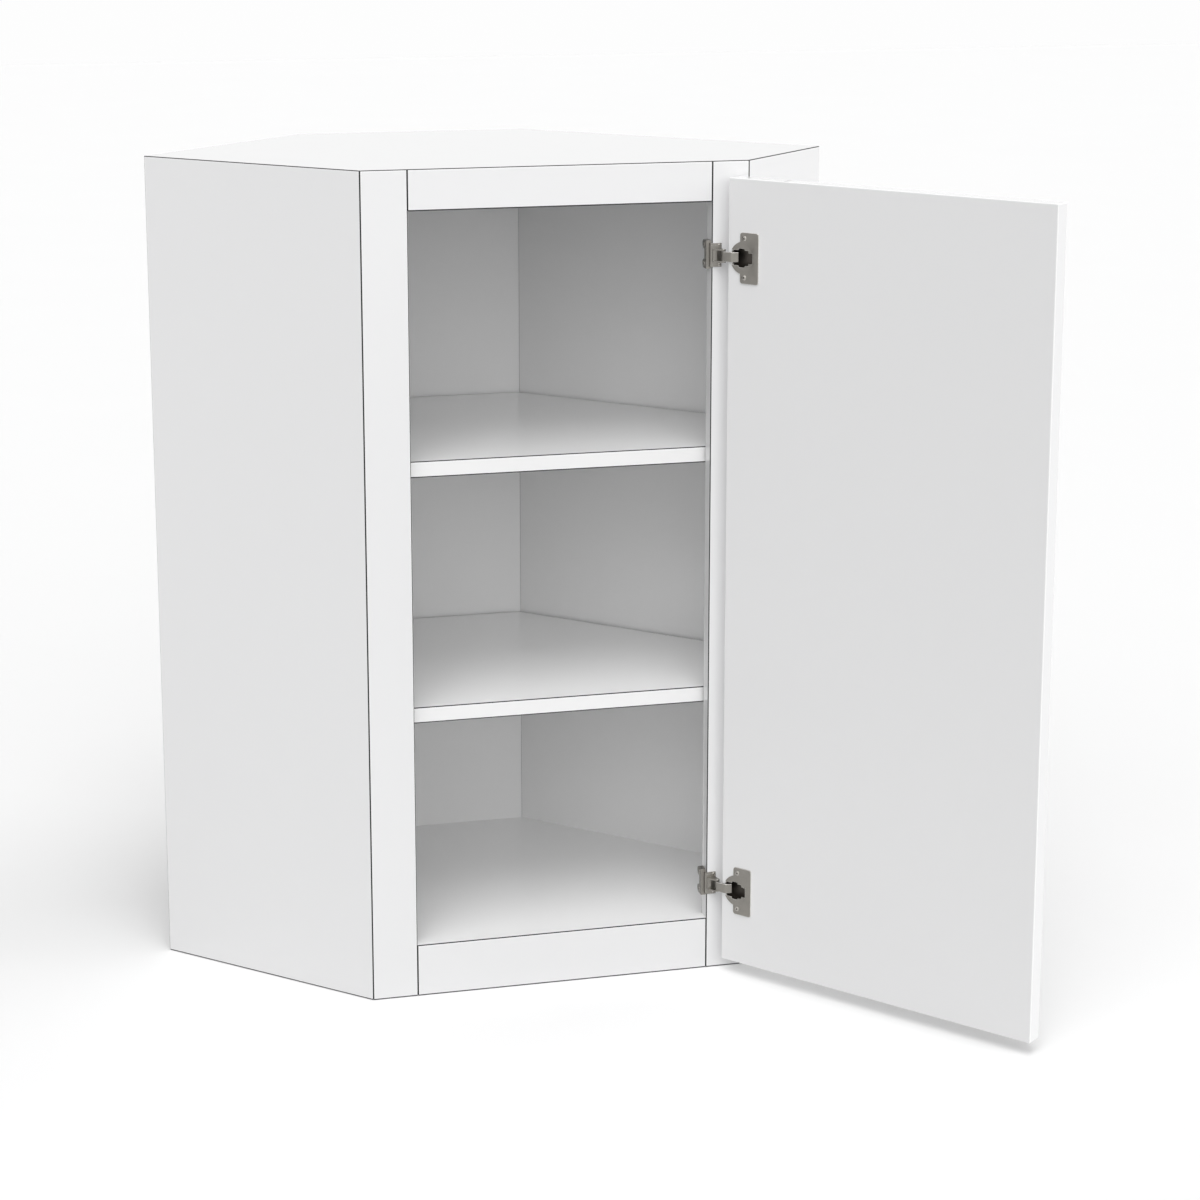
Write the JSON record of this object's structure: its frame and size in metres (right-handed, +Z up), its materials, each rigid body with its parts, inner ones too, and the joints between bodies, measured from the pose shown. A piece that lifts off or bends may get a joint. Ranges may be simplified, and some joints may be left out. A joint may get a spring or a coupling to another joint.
{
  "type": "corner wall cabinet",
  "caption": "Diagonal corner wall cabinet, white gloss, with a face frame, loose shelves and a plain slab door hung on compact cup hinges and swung wide open",
  "frame": {"origin": "the middle of the rear corner board's lower edge, on the diagonal between the two room walls, level with the underside", "axes": "+Z up, the closed door and the face frame face -Y, +X to the right of someone facing the cabinet; the room walls run at 45 degrees to X and Y"},
  "size_m": [0.8568, 0.7196, 0.9144],
  "materials": {
    "carcass_lacquer": "white gloss lacquer on board",
    "frame_lacquer": "white gloss lacquer on board",
    "shelf_lacquer": "white gloss lacquer on board",
    "door_lacquer": "white high-gloss lacquer on board",
    "support_metal": "nickel-plated steel",
    "hinge_nickel": "nickel-plated pressed steel, satin",
    "screw_nickel": "nickel-plated steel"
  },
  "bodies": {
    "cabinet": {"left_side_panel": "carcass_lacquer", "right_side_panel": "carcass_lacquer", "top_panel": "carcass_lacquer", "bottom_panel": "carcass_lacquer", "left_back_panel": "carcass_lacquer", "right_back_panel": "carcass_lacquer", "corner_back_panel": "carcass_lacquer", "left_upper_hanging_rail": "carcass_lacquer", "right_upper_hanging_rail": "carcass_lacquer", "left_lower_hanging_rail": "carcass_lacquer", "right_lower_hanging_rail": "carcass_lacquer", "left_stile": "frame_lacquer", "right_stile": "frame_lacquer", "top_rail": "frame_lacquer", "bottom_rail": "frame_lacquer", "upper_shelf": "shelf_lacquer", "lower_shelf": "shelf_lacquer", "upper_shelf_supports": "support_metal", "lower_shelf_supports": "support_metal", "upper_hinge_plate": "hinge_nickel", "upper_plate_screws": "screw_nickel", "upper_adjusting_screws": "screw_nickel", "upper_hinge_pin": "screw_nickel", "lower_hinge_plate": "hinge_nickel", "lower_plate_screws": "screw_nickel", "lower_adjusting_screws": "screw_nickel", "lower_hinge_pin": "screw_nickel"},
    "door": {"door_panel": "door_lacquer", "upper_hinge_cup": "hinge_nickel", "upper_cup_screws": "screw_nickel", "lower_hinge_cup": "hinge_nickel", "lower_cup_screws": "screw_nickel"},
    "upper_arm": {"upper_hinge_arm": "hinge_nickel"},
    "lower_arm": {"lower_hinge_arm": "hinge_nickel"}
  },
  "joints": [
    {"name": "door_swing", "type": "hinge", "parent": "cabinet", "child": "door", "pos_m": [0.27432, -0.4128, 0.4572], "axis": [0, 0, 1], "range_deg": [-129, 0]},
    {"name": "upper_arm_swing", "type": "hinge", "parent": "cabinet", "child": "upper_arm", "pos_m": [0.26192, -0.41051, 0.8134], "axis": [0, 0, 1], "range_deg": [-129, 0]},
    {"name": "lower_arm_swing", "type": "hinge", "parent": "cabinet", "child": "lower_arm", "pos_m": [0.26192, -0.41051, 0.101], "axis": [0, 0, 1], "range_deg": [-129, 0]}
  ],
  "couplings": [
    {"joint": "upper_arm_swing", "follows": "door_swing", "ratio": 1},
    {"joint": "lower_arm_swing", "follows": "door_swing", "ratio": 1}
  ]
}
